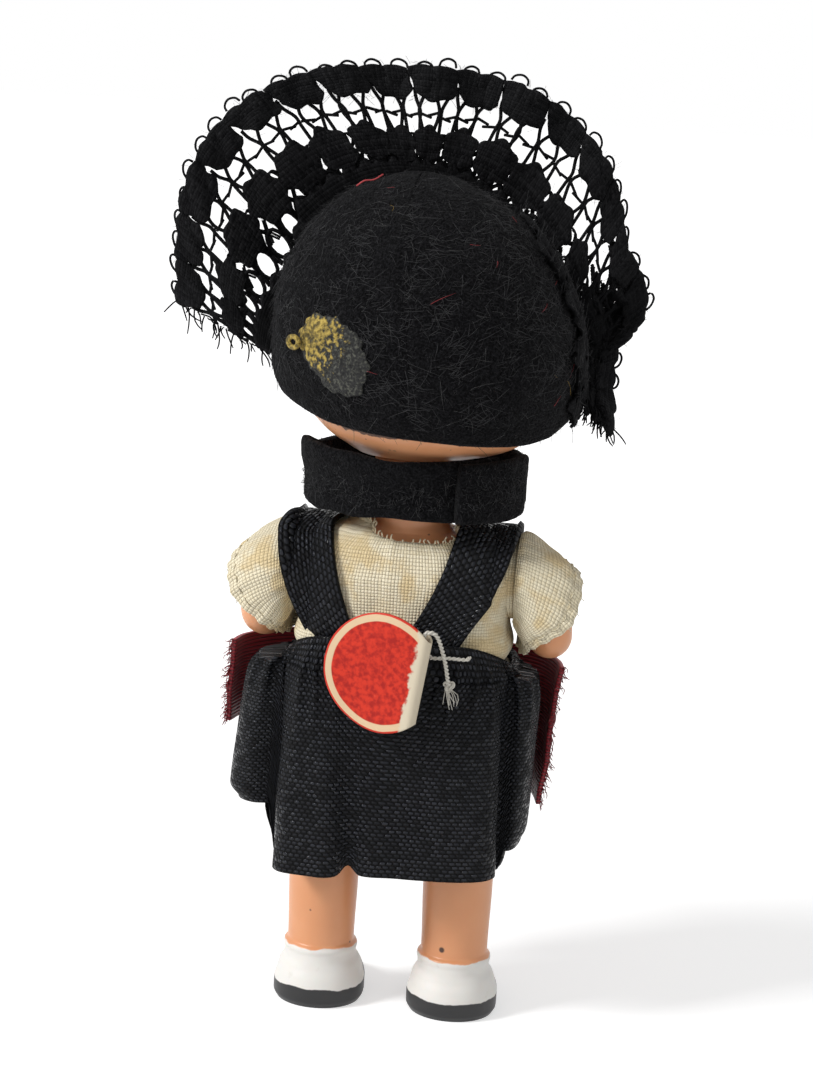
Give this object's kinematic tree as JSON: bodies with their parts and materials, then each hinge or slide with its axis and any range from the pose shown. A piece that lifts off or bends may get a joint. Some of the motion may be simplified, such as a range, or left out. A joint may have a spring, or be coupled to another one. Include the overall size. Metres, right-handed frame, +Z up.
{
  "type": "souvenir doll",
  "caption": "Small standing costume doll with a lace-edged felt cap, neck band, puffed blouse, strapped skirt, apron and a paper label, with a turning head and swinging limbs.",
  "frame": {"origin": "on the floor, under the middle of the doll's bounding box", "axes": "+Z up, the doll faces -Y, +X is the doll's own left"},
  "size_m": [0.056, 0.0338, 0.1127],
  "materials": {
    "skin_vinyl": "satin moulded vinyl, socks and shoes painted",
    "elastic": "covered elastic",
    "black_felt": "fuzzy wool felt",
    "black_lace": "machine-made cotton lace",
    "gold": "rough gold glue",
    "cream_cotton": "plain weave cotton",
    "black_ribbon": "basket weave ribbon with a slight shine",
    "crimson_ribbon": "ribbed ribbon with frayed edges",
    "white_thread": "twisted cotton thread",
    "label_paper": "printed paper, worn at the crease"
  },
  "bodies": {
    "torso": {"torso": "skin_vinyl", "arm_elastic": "elastic", "leg_elastic": "elastic", "blouse": "cream_cotton", "left_strap": "black_ribbon", "right_strap": "black_ribbon", "skirt": "black_ribbon", "apron": "crimson_ribbon", "waist_thread": "white_thread", "neck_band": "black_felt", "label_thread": "white_thread"},
    "head": {"head": "skin_vinyl", "felt_cap": "black_felt", "lace_frill": "black_lace", "gold_patch": "gold", "gold_bead": "gold"},
    "left_arm": {"left_arm": "skin_vinyl", "left_sleeve": "cream_cotton"},
    "right_arm": {"right_arm": "skin_vinyl", "right_sleeve": "cream_cotton"},
    "left_leg": {"left_leg": "skin_vinyl"},
    "right_leg": {"right_leg": "skin_vinyl"},
    "label": {"paper_label": "label_paper"}
  },
  "joints": [
    {"name": "head_turn", "type": "hinge", "parent": "torso", "child": "head", "pos_m": [-0.00236, -0.00047, 0.0675], "axis": [0, 0, 1], "continuous": true},
    {"name": "left_shoulder", "type": "hinge", "parent": "torso", "child": "left_arm", "pos_m": [0.01044, -0.00047, 0.054], "axis": [-1, 0, 0], "range_deg": [0, 90]},
    {"name": "right_shoulder", "type": "hinge", "parent": "torso", "child": "right_arm", "pos_m": [-0.01516, -0.00047, 0.054], "axis": [-1, 0, 0], "range_deg": [0, 90]},
    {"name": "left_hip", "type": "hinge", "parent": "torso", "child": "left_leg", "pos_m": [0.00244, -0.00047, 0.033], "axis": [-1, 0, 0], "range_deg": [-15, 15]},
    {"name": "right_hip", "type": "hinge", "parent": "torso", "child": "right_leg", "pos_m": [-0.00716, -0.00047, 0.033], "axis": [-1, 0, 0], "range_deg": [-15, 15]},
    {"name": "label_swing", "type": "hinge", "parent": "torso", "child": "label", "pos_m": [-0.00577, 0.01431, 0.04333], "axis": [-0.135, 0.0337, 0.9903], "range_deg": [0, 100]}
  ]
}
